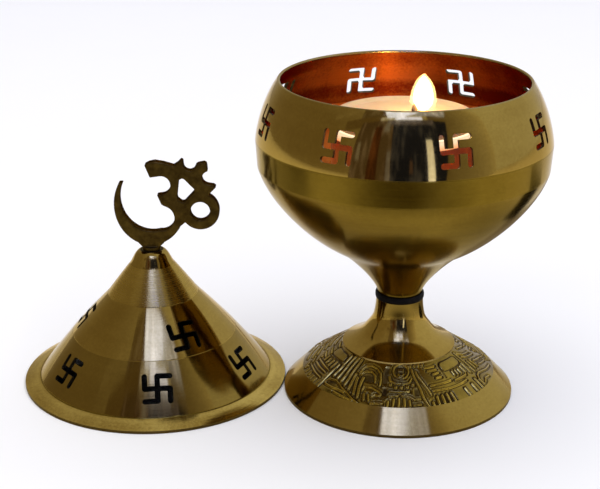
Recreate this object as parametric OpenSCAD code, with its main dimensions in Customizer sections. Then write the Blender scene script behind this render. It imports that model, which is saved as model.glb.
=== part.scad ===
// Akhand diya: a pierced brass oil lamp bowl on a flared foot, with a conical lid set down beside it
// and a wax candle in the bowl. Millimetres, +Z up, origin at the centre of the foot on the table.

/* [Foot] */
// Diameter of the foot on the table
foot_d = 62.2; // [58:0.2:70]
// Height of the upright lip at the foot's edge
foot_lip_h = 0.8; // [0.4:0.1:2]
// Diameter of the chased band's outer edge
chased_outer_d = 52; // [46:0.5:56]
// Height of the chased band's outer edge
chased_outer_z = 6.1; // [4:0.1:8]
// Diameter of the chased band's inner edge
chased_inner_d = 30.4; // [26:0.2:36]
// Height of the chased band's inner edge
chased_inner_z = 13.3; // [11:0.1:15]
// Step from the chased band up to the smooth flare
flare_step_h = 0.4; // [0.2:0.1:1]
// Angle at which the flare leaves the step, above level
flare_start_angle = 24; // [15:1:35]
// Reach of the flare's curve at the step
flare_step_pull = 6.9; // [4:0.1:8]
// Reach of the flare's curve at the neck
flare_neck_pull = 6.5; // [3:0.1:9]
// Height of the foot up to the waist ring
foot_h = 26.6; // [23:0.1:32]
// Wall of the foot
foot_wall = 1.2; // [0.8:0.1:2]
// Thickness of the plate that closes the foot's neck
foot_plate_t = 2; // [1.2:0.1:3]

/* [Waist ring] */
// Thickness of the black ring between foot and bowl
ring_t = 1.7; // [1:0.1:3]
// How far the ring stands out past the foot's neck
ring_proud = 0.25; // [0.1:0.05:1]

/* [Bowl] */
// Widest diameter of the bowl
bowl_d = 76.9; // [72:0.1:86]
// Height of the bowl from ring to rim
bowl_h = 58.1; // [54:0.1:66]
// Diameter of the rim
rim_d = 65.4; // [58:0.2:72]
// Wall of the bowl
bowl_wall = 0.9; // [0.6:0.1:1.6]
// Thickness of the bowl's floor at the screw
bowl_floor_t = 1.4; // [1:0.1:3]
// Height of the lower turned line above the ring
low_line_h = 35.9; // [33:0.1:38]
// How much narrower the bowl is at the lower turned line
low_line_taper = 0.9; // [0.2:0.1:2]
// Height of the upper turned line above the ring, where the bowl is widest
high_line_h = 42.8; // [40:0.1:46]
// Radius where the bowl's neck turns into its belly
turn_r = 18.2; // [16:0.1:21]
// Height of that turn above the ring
turn_h = 13.65; // [12:0.05:16]
// Slope of the wall at that turn, above level
turn_angle = 29; // [22:1:36]
// Lean of the wall below the lower turned line, from upright
belly_lean = 14; // [5:1:20]
// Lean of the wall above the upper turned line, from upright
shoulder_lean = 7; // [2:1:12]
// Lean of the wall at the rim, from upright
rim_lean = 37; // [25:1:45]

/* [Piercings] */
// Width across one pierced swastika on the bowl
bowl_pierce_w = 8.2; // [7:0.1:10]
// Width across one pierced swastika on the lid
lid_pierce_w = 8.1; // [6.5:0.1:9]
// Width of a sawn stroke
stroke_w = 1.45; // [1:0.05:1.8]
// Number of swastikas around the bowl
bowl_pierce_count = 8; // [4:1:10]
// Turn of the bowl's first swastika from the front, towards +X
bowl_pierce_turn = 15.5; // [0:0.5:45]
// Depth of the bowl's swastika centres below the rim
bowl_pierce_drop = 8.6; // [7:0.1:10]
// Number of swastikas in the lid's lower row
lid_low_count = 6; // [3:1:8]
// Turn of the lower row from the front, towards +X
lid_low_turn = 6.5; // [0:0.5:60]
// Height of the lower row's centres on the lid
lid_low_z = 8.5; // [7:0.1:9.5]
// Number of swastikas in the lid's upper row
lid_high_count = 3; // [2:1:4]
// Turn of the upper row from the front, towards +X
lid_high_turn = 31; // [0:0.5:120]
// Height of the upper row's centres on the lid
lid_high_z = 18.7; // [17.5:0.1:20]

/* [Lid] */
// Diameter of the brim
brim_d = 72.2; // [68:0.2:80]
// Height of the brim's upright edge
brim_edge_h = 0.8; // [0.5:0.1:2]
// Diameter where the brim meets the cone
cone_d = 63.6; // [60:0.2:66]
// Height where the brim meets the cone
cone_z = 2.3; // [1.8:0.1:4]
// Diameter of the cone at its lower turned line
lid_low_line_d = 44.8; // [42:0.2:48]
// Height of the lid's lower turned line
lid_low_line_z = 14.2; // [13.5:0.1:15]
// Diameter of the cone at its upper turned line
lid_high_line_d = 24.6; // [22:0.2:27]
// Height of the lid's upper turned line
lid_high_line_z = 25.2; // [24:0.1:27]
// Diameter of the cone at its rounded shoulder
shoulder_d = 12; // [11:0.2:14]
// Height of that shoulder
shoulder_z = 33.6; // [32:0.1:34.5]
// Diameter of the flat at the tip
tip_d = 6.4; // [6:0.1:8]
// Height of the flat at the tip
tip_z = 37.4; // [36.5:0.1:40]
// Wall of the lid
lid_wall = 0.8; // [0.6:0.1:1.2]
// Room between the brim and the foot where the lid stands
lid_gap = 0.3; // [0.3:0.1:20]
// Direction from the goblet to the lid, from +X
lid_side_angle = 173.8; // [120:0.1:240]

/* [Om finial] */
// Height of the Om above its collar
om_h = 24.45; // [20:0.05:32]
// Thickness of the Om
om_t = 2.6; // [2:0.1:4]
// Diameter of the collar under the Om
collar_d = 4.7; // [4:0.1:6]
// Height of that collar
collar_h = 1; // [0.6:0.1:2]

/* [Candle] */
// Diameter of the candle's cup
cup_d = 38; // [32:0.2:42]
// Height of the cup
cup_h = 31.8; // [20:0.1:36]
// Wall and floor of the cup
cup_wall = 0.4; // [0.3:0.05:0.8]
// Bevel around the cup's floor
cup_bevel = 0.8; // [0.5:0.1:1.5]
// How far the wax stands above the cup
wax_proud = 2.3; // [0.5:0.1:5]
// Depth of the melted hollow in the wax
pool_depth = 0.6; // [0.2:0.1:2]
// Width of the wax's raised margin around that hollow
pool_margin = 2.2; // [1:0.1:5]
// Diameter of the wick
wick_d = 1.6; // [1:0.1:2.4]
// Offset of the wick from the candle's axis, towards +X
wick_off = 2.4; // [0:0.1:6]
// Length of the wick's leaning end
wick_end_l = 3.6; // [2:0.1:6]
// Lean of the wick's end towards +X, from upright
wick_lean = 38; // [0:1:60]
// Diameter of the tab that holds the wick
sustainer_d = 13; // [9:0.5:18]
// Height of the tab's tube
sustainer_h = 4; // [2:0.1:8]
// Thickness of the tab
sustainer_t = 0.4; // [0.3:0.05:0.8]

/* [Fasteners] */
// Diameter of the tie screw
screw_d = 4; // [3:0.1:4.5]
// Length of the tie screw's end below its nut
screw_end = 2.1; // [0.5:0.1:4]
// Diameter of the screw's head
screw_head_d = 8; // [6.5:0.1:9]
// Height of the screw's head
screw_head_h = 2.6; // [1.5:0.1:4]
// Width of the slot in the screw's head
screw_slot_w = 1.1; // [0.6:0.1:1.6]
// Width across the tie nut's flats
nut_flats = 7; // [6:0.1:7.6]
// Height of the tie nut
nut_h = 3.2; // [2:0.1:4]
// Diameter of the tie screw's washers
washer_d = 9; // [8:0.1:10]
// Thickness of the tie screw's washers
washer_t = 0.8; // [0.5:0.1:1.2]
// Room around the washers in both necks
washer_room = 0.6; // [0.3:0.1:1.5]
// Diameter of the finial's stud
stud_d = 2.5; // [2:0.1:3]
// Width across the finial nut's flats
finial_nut_flats = 5; // [4:0.1:5.2]
// Height of the finial nut
finial_nut_h = 2; // [1.5:0.1:2.6]
// Diameter of the finial's washer
finial_washer_d = 6; // [5:0.1:6.2]
// Thickness of the finial's washer
finial_washer_t = 0.5; // [0.3:0.1:0.8]
// Length of the stud's end below its nut
stud_end = 0.8; // [0.4:0.1:2]

/* [Fits] */
// Room around a screw or stud in a plain hole
hole_room = 0.15; // [0.1:0.05:0.3]
// Room around a screw or stud in its nut
thread_room = 0.05; // [0.03:0.01:0.1]
// Room between the wax, the wick and what holds them
wax_room = 0.1; // [0.05:0.05:0.2]
// Room between the candle and the bowl that it stands in
seat_room = 0.25; // [0.1:0.05:0.5]

/* [Hidden] */
$fn = 96;

// Colours
brass = [0.62, 0.5, 0.22];
cast_brass = [0.26, 0.2, 0.08];
ring_black = [0.06, 0.06, 0.06];
steel = [0.7, 0.7, 0.72];
foil = [0.82, 0.82, 0.8];
wax_cream = [0.96, 0.9, 0.74];
wick_brown = [0.25, 0.2, 0.15];

// Straight pieces that make up one curve of a profile
curve_steps = 9;
// Overlap of a cutting shape past the face that it opens
over = 1;
// Depth of a piercing cut to either side of the wall
pierce_reach = 3;

// Heights up the goblet
plate_z = foot_h - foot_plate_t;
bowl_z = foot_h + ring_t;
rim_z = bowl_z + bowl_h;
floor_z = bowl_z + bowl_floor_t;
head_z = floor_z + washer_t;
nut_top_z = plate_z - washer_t;
screw_end_z = nut_top_z - nut_h - screw_end;

// Necks leave room for the washers inside
washer_pocket_r = washer_d / 2 + washer_room;
foot_neck_r = washer_pocket_r + foot_wall;
bowl_neck_r = washer_pocket_r + bowl_wall;
screw_hole_r = screw_d / 2 + hole_room;

// Lid's place beside the goblet
lid_reach = foot_d / 2 + brim_d / 2 + lid_gap;
lid_place = [lid_reach * cos(lid_side_angle), lid_reach * sin(lid_side_angle), 0];

// Heights and radii inside the lid's tip
stud_hole_r = stud_d / 2 + hole_room;
ceiling_z = tip_z - lid_wall;
finial_nut_top_z = ceiling_z - finial_washer_t;
finial_nut_r = finial_nut_flats / 2 / cos(30);
finial_pocket_r = max(finial_washer_d / 2, finial_nut_r) + 2 * hole_room;

// Cubic curve from p0 to p3 with handles p1 and p2
function curve(p0, p1, p2, p3) = [
    for (i = [0:curve_steps])
        let (t = i / curve_steps, u = 1 - t)
        u * u * u * p0 + 3 * u * u * t * p1 + 3 * u * t * t * p2 + t * t * t * p3
];

function unit(v) = v / norm(v);
function rest(list) = [for (i = [1:len(list) - 1]) list[i]];
function backwards(list) = [for (i = [len(list) - 1:-1:0]) list[i]];

// Direction of a profile at point i
function heading(list, i) =
    unit(list[min(i + 1, len(list) - 1)] - list[max(i - 1, 0)]);

// A profile that runs upwards, moved towards the axis by one wall
function inset(list, wall) = [
    for (i = [0:len(list) - 1])
        let (h = heading(list, i))
        list[i] + wall * [-h.y, h.x]
];

// Radius of a profile at a height, and the lean of its wall there
function radius_at(list, z) = lookup(z, [for (p = list) [p.y, p.x]]);
function lean_at(list, z, span) =
    atan((radius_at(list, z - span) - radius_at(list, z + span)) / (2 * span));

function above(list, z) = [for (p = list) if (p.y > z) p];
function between(list, low, high) = [for (p = list) if (p.y > low && p.y < high) p];

// Outside of the foot, upwards
foot_r = foot_d / 2;
flare_foot = [chased_inner_d / 2, chased_inner_z + flare_step_h];
foot_neck = [foot_neck_r, foot_h];
foot_outside = concat(
    [
        [foot_r, 0], [foot_r, foot_lip_h],
        [chased_outer_d / 2, chased_outer_z], [chased_inner_d / 2, chased_inner_z]
    ],
    curve(
        flare_foot,
        flare_foot + flare_step_pull * [-cos(flare_start_angle), sin(flare_start_angle)],
        foot_neck - [0, flare_neck_pull],
        foot_neck
    )
);
foot_inside = inset(foot_outside, foot_wall);

// Outside of the bowl, upwards from the ring
neck_pull = 3;
turn_neck_pull = 4.4;
turn_belly_pull = 10.5;
belly_pull = 7.4;
shoulder_pull = 4.9;
bowl_r = bowl_d / 2;
bowl_neck = [bowl_neck_r, bowl_z];
turn = [turn_r, bowl_z + turn_h];
turn_way = [cos(turn_angle), sin(turn_angle)];
low_line = [bowl_r - low_line_taper / 2, bowl_z + low_line_h];
high_line = [bowl_r, bowl_z + high_line_h];
rim = [rim_d / 2, rim_z];
bowl_lower = concat(
    curve(bowl_neck, bowl_neck + [0, neck_pull], turn - turn_neck_pull * turn_way, turn),
    rest(curve(
        turn,
        turn + turn_belly_pull * turn_way,
        low_line - belly_pull * [sin(belly_lean), cos(belly_lean)],
        low_line
    ))
);
bowl_outside = concat(
    bowl_lower,
    curve(
        high_line,
        high_line + shoulder_pull * [-sin(shoulder_lean), cos(shoulder_lean)],
        rim + shoulder_pull * [sin(rim_lean), -cos(rim_lean)],
        rim
    )
);
bowl_inside = inset(bowl_outside, bowl_wall);
bowl_lower_inside = inset(bowl_lower, bowl_wall);

// Outside of the lid, upwards from its brim
shoulder = [shoulder_d / 2, shoulder_z];
tip = [tip_d / 2, tip_z];
high_turn = [lid_high_line_d / 2, lid_high_line_z];
lid_outside = concat(
    [
        [brim_d / 2, 0], [brim_d / 2, brim_edge_h], [cone_d / 2, cone_z],
        [lid_low_line_d / 2, lid_low_line_z], high_turn
    ],
    curve(
        shoulder,
        shoulder + (shoulder - high_turn) / 8,
        [(tip.x + shoulder.x) / 2, tip.y - (shoulder.x - tip.x) / 6],
        tip
    )
);
lid_inside = inset(lid_outside, lid_wall);

// Candle's places: its floor's edge stands on the bowl's tapering wall
cup_r = cup_d / 2;
seat_r = cup_r - cup_bevel;
cup_z = lookup(seat_r, [for (p = bowl_lower_inside) [p.x, p.y]]) + seat_room;
cup_floor_z = cup_z + cup_wall;
wax_r = cup_r - cup_wall - wax_room;
wax_top_z = cup_z + cup_h + wax_proud;
pool_z = wax_top_z - pool_depth;
pool_r = wax_r - pool_margin;
wick_hole_r = wick_d / 2 + wax_room;
sustainer_tube_r = wick_hole_r + sustainer_t;

// Right-facing swastika with round stroke ends, flat, centred
module swastika(width) {
    arm = (width - stroke_w) / 2;
    for (quarter = [0:90:270])
        rotate(-quarter) {
            translate([-stroke_w / 2, 0]) square([stroke_w, arm]);
            translate([0, arm]) circle(d = stroke_w, $fn = 24);
            translate([0, arm - stroke_w / 2]) square([arm, stroke_w]);
            translate([arm, arm]) circle(d = stroke_w, $fn = 24);
        }
}

// A ring of swastika cutters through the wall of a turned profile
module piercings(outside, z, count, turn_by, width) {
    r = radius_at(outside, z);
    lean = lean_at(outside, z, width / 4);
    for (i = [0:count - 1])
        rotate(turn_by + i * 360 / count)
            translate([0, -r, z])
                rotate([90 - lean, 0, 0])
                    translate([0, 0, -pierce_reach])
                        linear_extrude(2 * pierce_reach) swastika(width);
}

module hex_nut(flats, height, bore_r) {
    difference() {
        cylinder(r = flats / 2 / cos(30), h = height, $fn = 6);
        translate([0, 0, -over]) cylinder(r = bore_r, h = height + 2 * over);
    }
}

module washer(outer_d, bore_r, thick) {
    difference() {
        cylinder(d = outer_d, h = thick);
        translate([0, 0, -over]) cylinder(r = bore_r, h = thick + 2 * over);
    }
}

module foot() {
    hollow = concat([foot_inside[0]], between(foot_inside, 0, plate_z));
    color(brass)
        rotate_extrude()
            polygon(concat(
                foot_outside,
                [[screw_hole_r, foot_h], [screw_hole_r, plate_z]],
                [[radius_at(foot_inside, plate_z), plate_z]],
                backwards(hollow)
            ));
}

module waist_ring() {
    edge_r = ring_t / 2;
    bead_r = foot_neck_r + ring_proud - edge_r;
    color(ring_black)
        translate([0, 0, foot_h])
            rotate_extrude() {
                translate([screw_hole_r, 0]) square([bead_r - screw_hole_r, ring_t]);
                translate([bead_r, edge_r]) circle(r = edge_r);
            }
}

module bowl() {
    hollow = above(bowl_inside, floor_z);
    color(brass)
        difference() {
            rotate_extrude()
                polygon(concat(
                    [[screw_hole_r, bowl_z]],
                    bowl_outside,
                    backwards(hollow),
                    [[radius_at(bowl_inside, floor_z), floor_z], [screw_hole_r, floor_z]]
                ));
            piercings(
                bowl_outside, rim_z - bowl_pierce_drop,
                bowl_pierce_count, bowl_pierce_turn, bowl_pierce_w
            );
        }
}

module tie_screw() {
    slot_depth = screw_head_h / 2;
    color(steel)
        difference() {
            union() {
                translate([0, 0, screw_end_z]) cylinder(d = screw_d, h = head_z - screw_end_z);
                translate([0, 0, head_z]) cylinder(d = screw_head_d, h = screw_head_h);
            }
            translate([-screw_head_d, -screw_slot_w / 2, head_z + screw_head_h - slot_depth])
                cube([2 * screw_head_d, screw_slot_w, slot_depth + over]);
        }
}

module head_washer() {
    color(steel) translate([0, 0, floor_z]) washer(washer_d, screw_hole_r, washer_t);
}

module nut_washer() {
    color(steel) translate([0, 0, nut_top_z]) washer(washer_d, screw_hole_r, washer_t);
}

module tie_nut() {
    color(steel)
        translate([0, 0, nut_top_z - nut_h]) hex_nut(nut_flats, nut_h, screw_d / 2 + thread_room);
}

module lid_cone() {
    hollow = concat([lid_inside[0]], between(lid_inside, 0, ceiling_z));
    pocket_h = finial_washer_t + finial_nut_h + stud_end;
    color(brass)
        translate(lid_place)
            difference() {
                rotate_extrude()
                    polygon(concat(
                        lid_outside,
                        [[stud_hole_r, tip_z], [stud_hole_r, ceiling_z]],
                        [[radius_at(lid_inside, ceiling_z), ceiling_z]],
                        backwards(hollow)
                    ));
                translate([0, 0, ceiling_z - pocket_h]) cylinder(r = finial_pocket_r, h = pocket_h);
                piercings(lid_outside, lid_low_z, lid_low_count, lid_low_turn, lid_pierce_w);
                piercings(lid_outside, lid_high_z, lid_high_count, lid_high_turn, lid_pierce_w);
            }
}

// The Om is drawn on a grid with its neck's foot at the origin, then scaled to its height
om_stroke = [
    [-1.05, 23.4], [0.2, 24.1], [1.7, 24.4], [4.1, 24], [6.8, 23.2], [7.9, 23.9],
    [8.8, 24.85], [9.35, 24.75], [9.55, 23.5], [12.75, 23.3], [13.5, 23.8], [15.1, 24.1],
    [15.8, 23.7], [16, 21.7], [16.2, 19.7], [16, 17.9], [17.5, 17.7], [18.2, 17.2],
    [16.4, 15.3], [14, 13], [11, 10], [9.9, 7.4], [8.6, 6.2], [5.6, 6.4], [5.6, 9],
    [3.9, 11.8], [3.2, 12.2], [2.1, 14.9], [3.2, 15.1], [3.2, 20.3], [0.3, 19.9]
];
om_neck = [[-2.4, 0], [2.4, 0], [3.6, 1.1], [3.6, 2.4], [-3.6, 2.4], [-3.4, 1.1]];
om_eye = [
    [8.15, 19.2], [9, 19.65], [9.6, 19.4], [12.3, 16.5], [12.3, 16],
    [9.5, 12.95], [8.8, 12.9], [7.7, 13.8], [7.6, 14.6]
];
// Ovals whose difference is the crescent: centre and half axes
om_tail_outside = [0, 12, 9.75, 11.5];
om_tail_inside = [0.6, 14, 8.6, 9.5];
// Heights at which the crescent's left tip and its right end stop
om_tail_tip_y = 18.4;
om_tail_end_y = 9;
// Loop of the trunk, its eye, the two bowls of the stroke and both sides of the dot: centre and radius
om_loop = [13.75, 10.3, 5.25];
om_rounds = [
    [13.75, 10.3, 2.65], [3.2, 17.7, 2.6], [3.1, 8.3, 3.55], [11.15, 23.5, 1.65], [16.3, 19.8, 1.85]
];
om_grid_h = max([for (p = om_stroke) p.y]);

module oval(o) {
    polygon([for (a = [0:6:354]) [o[0] + o[2] * cos(a), o[1] + o[3] * sin(a)]]);
}

module disc(d) {
    translate([d[0], d[1]]) circle(r = d[2]);
}

// Crescent tail and lower stroke
module om_crescent() {
    difference() {
        oval(om_tail_outside);
        oval(om_tail_inside);
        translate([-om_grid_h, om_tail_tip_y]) square([om_grid_h, om_grid_h]);
        translate([0, om_tail_end_y]) square([om_grid_h, om_grid_h]);
    }
    polygon(om_neck);
}

module om_outline() {
    difference() {
        union() {
            om_crescent();
            polygon(om_stroke);
            disc(om_loop);
        }
        for (d = om_rounds) disc(d);
        polygon(om_eye);
    }
}

module om_finial() {
    stud_l = lid_wall + finial_washer_t + finial_nut_h + stud_end;
    color(cast_brass)
        translate(lid_place + [0, 0, tip_z]) {
            translate([0, om_t / 2, collar_h])
                rotate([90, 0, 0])
                    linear_extrude(om_t) scale(om_h / om_grid_h) om_outline();
            cylinder(d = collar_d, h = collar_h);
            translate([0, 0, -stud_l]) cylinder(d = stud_d, h = stud_l);
        }
}

module finial_washer() {
    color(steel)
        translate(lid_place + [0, 0, finial_nut_top_z])
            washer(finial_washer_d, stud_hole_r, finial_washer_t);
}

module finial_nut() {
    color(steel)
        translate(lid_place + [0, 0, finial_nut_top_z - finial_nut_h])
            hex_nut(finial_nut_flats, finial_nut_h, stud_d / 2 + thread_room);
}

module candle_cup() {
    color(foil)
        translate([0, 0, cup_z])
            rotate_extrude()
                polygon([
                    [0, 0], [seat_r, 0], [cup_r, cup_bevel], [cup_r, cup_h],
                    [cup_r - cup_wall, cup_h], [cup_r - cup_wall, cup_bevel],
                    [seat_r - cup_wall / 2, cup_wall], [0, cup_wall]
                ]);
}

module candle_wax() {
    foot_step = cup_bevel + wax_room;
    color(wax_cream)
        difference() {
            rotate_extrude()
                polygon([
                    [0, cup_floor_z], [seat_r - cup_wall - wax_room, cup_floor_z],
                    [wax_r, cup_z + foot_step], [wax_r, wax_top_z - pool_depth / 2],
                    [wax_r - pool_depth / 2, wax_top_z], [pool_r, wax_top_z],
                    [pool_r - pool_depth, pool_z], [0, pool_z]
                ]);
            translate([wick_off, 0, cup_floor_z - over])
                cylinder(r = wick_hole_r, h = wax_top_z - cup_floor_z + 2 * over);
            translate([wick_off, 0, cup_floor_z - over])
                cylinder(d = sustainer_d + 2 * wax_room, h = sustainer_t + wax_room + over);
            translate([wick_off, 0, cup_floor_z - over])
                cylinder(r = sustainer_tube_r + wax_room, h = sustainer_h + wax_room + over);
        }
}

module wick() {
    color(wick_brown)
        translate([wick_off, 0, 0]) {
            bend_z = wax_top_z + wick_d / 2;
            foot_z = cup_floor_z + sustainer_t;
            translate([0, 0, foot_z]) cylinder(d = wick_d, h = bend_z - foot_z);
            translate([0, 0, bend_z]) {
                sphere(d = wick_d);
                rotate([0, wick_lean, 0]) cylinder(d = wick_d, h = wick_end_l);
            }
        }
}

module wick_sustainer() {
    color(steel)
        translate([wick_off, 0, cup_floor_z])
            difference() {
                union() {
                    cylinder(d = sustainer_d, h = sustainer_t);
                    cylinder(r = sustainer_tube_r, h = sustainer_h);
                }
                translate([0, 0, sustainer_t])
                    cylinder(r = wick_hole_r, h = sustainer_h + over);
            }
}

foot();
waist_ring();
bowl();
tie_screw();
head_washer();
nut_washer();
tie_nut();
lid_cone();
om_finial();
finial_washer();
finial_nut();
candle_cup();
candle_wax();
wick();
wick_sustainer();
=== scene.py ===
# Akhand diya: looks of the pierced brass bowl, its lid and its candle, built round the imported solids.
# Profiles are lists of (radius, height) in millimetres; meshes and places are in metres.
import math

import bmesh
import bpy
import numpy as np
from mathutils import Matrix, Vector


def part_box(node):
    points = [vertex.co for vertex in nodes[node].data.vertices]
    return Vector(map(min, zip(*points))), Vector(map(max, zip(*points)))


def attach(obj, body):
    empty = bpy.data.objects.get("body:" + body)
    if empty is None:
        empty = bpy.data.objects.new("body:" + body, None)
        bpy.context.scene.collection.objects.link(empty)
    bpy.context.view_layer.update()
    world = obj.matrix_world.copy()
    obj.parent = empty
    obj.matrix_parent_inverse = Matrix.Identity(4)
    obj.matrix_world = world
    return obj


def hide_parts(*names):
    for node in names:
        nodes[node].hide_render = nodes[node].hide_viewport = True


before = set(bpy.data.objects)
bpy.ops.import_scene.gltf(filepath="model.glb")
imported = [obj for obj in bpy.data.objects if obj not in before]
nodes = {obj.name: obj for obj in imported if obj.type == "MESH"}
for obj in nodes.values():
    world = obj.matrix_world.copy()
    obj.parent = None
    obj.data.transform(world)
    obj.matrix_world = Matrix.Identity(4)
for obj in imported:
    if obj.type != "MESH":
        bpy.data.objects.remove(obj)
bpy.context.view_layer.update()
scene = bpy.context.scene
scene.view_settings.view_transform = "Standard"

MM = 0.001


def high(node):
    """Highest corner of a CAD node, in millimetres"""
    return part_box(node)[1] / MM


def low(node):
    """Lowest corner of a CAD node, in millimetres"""
    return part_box(node)[0] / MM


# Sizes that the frame gives, in millimetres
FOOT_R = high("foot").x
FOOT_TOP = high("foot").z
BOWL_R = high("bowl").x
BOWL_Z = low("bowl").z
RIM_Z = high("bowl").z
RING_R = high("waist_ring").x
LID_AXIS = (high("lid_cone") + low("lid_cone")) / 2
BRIM_R = high("lid_cone").x - LID_AXIS.x
TIP_Z = high("lid_cone").z
CUP_R = high("candle_cup").x
CUP_Z = low("candle_cup").z
CUP_TOP = high("candle_cup").z
WAX_R = high("candle_wax").x
WAX_TOP = high("candle_wax").z
WICK_X = low("wick").x
WICK_FOOT_Z = low("wick").z
WICK_TIP = high("wick")

# Bores, walls and the swastikas' strokes, in millimetres
SCREW_HOLE_R = 2.15
BOWL_WALL = 0.9
FOOT_WALL = 1.2
LID_WALL = 0.8
CUP_WALL = 0.4
STROKE_W = 1.45
# How far down from the cup's rim the flame's light is painted on its side as a glow
LIT_SIDE = 2.8

# Faces round a turned mesh, and round the foot because of its chased band
SEGMENTS = 288
FOOT_SEGMENTS = 960


# Curves of profiles


def bezier(p0, p1, p2, p3, steps=32):
    p0, p1, p2, p3 = (np.array(p, float) for p in (p0, p1, p2, p3))
    t = np.linspace(0, 1, steps + 1)[:, None]
    u = 1 - t
    return u**3 * p0 + 3 * u * u * t * p1 + 3 * u * t * t * p2 + t**3 * p3


def straight(p0, p1, steps=8):
    t = np.linspace(0, 1, steps + 1)[:, None]
    return (1 - t) * np.array(p0, float) + t * np.array(p1, float)


def bulged(p0, p1, bulge, steps=24):
    """A line that swells outwards in its middle, for a profile that runs upwards"""
    points = straight(p0, p1, steps)
    way = headings(points)
    t = np.linspace(0, 1, steps + 1)
    return points + (4 * bulge * t * (1 - t))[:, None] * np.column_stack([way[:, 1], -way[:, 0]])


def arc(centre, radius, start, end, steps=10):
    a = np.radians(np.linspace(start, end, steps + 1))
    return np.array(centre, float) + radius * np.column_stack([np.cos(a), np.sin(a)])


def joined(*curves):
    """Curves that follow each other without a crease, as one"""
    return np.vstack([curves[0]] + [c[1:] for c in curves[1:]])


def headings(points):
    ways = np.gradient(points, axis=0)
    return ways / np.linalg.norm(ways, axis=1)[:, None]


def lengths(points):
    """How far along a curve each of its points lies"""
    return np.concatenate([[0], np.cumsum(np.linalg.norm(np.diff(points, axis=0), axis=1))])


def inset(points, wall):
    """A profile that runs upwards, moved towards the axis and turned to run downwards"""
    way = headings(points)
    return (points + wall * np.column_stack([-way[:, 1], way[:, 0]]))[::-1]


def turned_line(first, second, width=0.14, depth=0.05):
    """Cuts a fine groove where two curves of a profile that runs upwards meet, and returns its points"""
    meeting = second[0].copy()
    before = first[-2] - meeting
    after = second[1] - meeting
    first[-1] = meeting + before / np.linalg.norm(before) * width
    second[0] = meeting + after / np.linalg.norm(after) * width
    way = (second[0] - first[-1]) / np.linalg.norm(second[0] - first[-1])
    return np.array([first[-1], meeting + depth * np.array([-way[1], way[0]]), second[0]])


def leaning(length, degrees):
    """A step of that length, leaning from upright towards larger radii"""
    return length * np.array([math.sin(math.radians(degrees)), math.cos(math.radians(degrees))])


# Objects and turned meshes


def linked(name, data):
    """A new object in the scene"""
    obj = bpy.data.objects.new(name, data)
    scene.collection.objects.link(obj)
    return obj


def add_object(name, mesh, body, replaced=None, at=(0, 0, 0)):
    """A piece that rides on a body and the CAD node that it replaces"""
    obj = linked(name, mesh)
    obj.location = at
    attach(obj, body)
    if replaced:
        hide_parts(replaced)
    return obj


def cornered(material, *points, steps=2):
    """Zones that run straight from each point to the next"""
    return [(straight(a, b, steps), material) for a, b in zip(points[:-1], points[1:])]


def lathe(name, zones, segments, reliefs):
    """Revolves zones, which follow each other round a closed section, into a closed mesh.
    A zone is (points, material). reliefs gives, for a zone's index, heights along its normals."""
    rings, zone_of_row = [], []
    turn = np.radians(np.arange(segments) * 360 / segments)
    around = np.column_stack([np.sin(turn), -np.cos(turn)])
    for index, (points, _) in enumerate(zones):
        way = headings(points)
        lift = reliefs[index](np.degrees(turn), points) if index in reliefs else None
        for row in range(len(points) - 1):
            radius, height = points[row]
            shift = np.zeros(segments) if lift is None else lift[row]
            ring_r = radius + shift * way[row, 1]
            ring_z = height - shift * way[row, 0]
            rings.append(np.column_stack([around * ring_r[:, None], ring_z]))
            zone_of_row.append(index)
    ring_count = len(rings)
    corners = np.arange(ring_count * segments).reshape(ring_count, segments)
    above = np.roll(corners, -1, axis=0)
    faces = np.stack([corners, np.roll(corners, -1, 1), np.roll(above, -1, 1), above], axis=-1)
    mesh = bpy.data.meshes.new(name)
    mesh.from_pydata((np.vstack(rings) * MM).tolist(), [], faces.reshape(-1, 4).tolist())
    mesh.polygons.foreach_set("material_index", np.repeat(zone_of_row, segments))
    mesh.polygons.foreach_set("use_smooth", np.ones(len(mesh.polygons), bool))
    close_poles(mesh)
    return mesh


def close_poles(mesh):
    """Joins the corners of rings that have no radius"""
    bm = bmesh.new()
    bm.from_mesh(mesh)
    on_axis = [v for v in bm.verts if math.hypot(v.co.x, v.co.y) < 1e-8]
    bmesh.ops.remove_doubles(bm, verts=on_axis, dist=1e-7)
    bmesh.ops.dissolve_degenerate(bm, edges=bm.edges, dist=1e-8)
    bm.to_mesh(mesh)
    bm.free()


def places(mesh):
    """All points of a mesh, in millimetres"""
    co = np.empty(len(mesh.vertices) * 3)
    mesh.vertices.foreach_get("co", co)
    return co.reshape(-1, 3) / MM


def whole_numbers(items, field):
    """One field of all faces or all corners"""
    numbers = np.empty(len(items), int)
    items.foreach_get(field, numbers)
    return numbers


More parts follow.
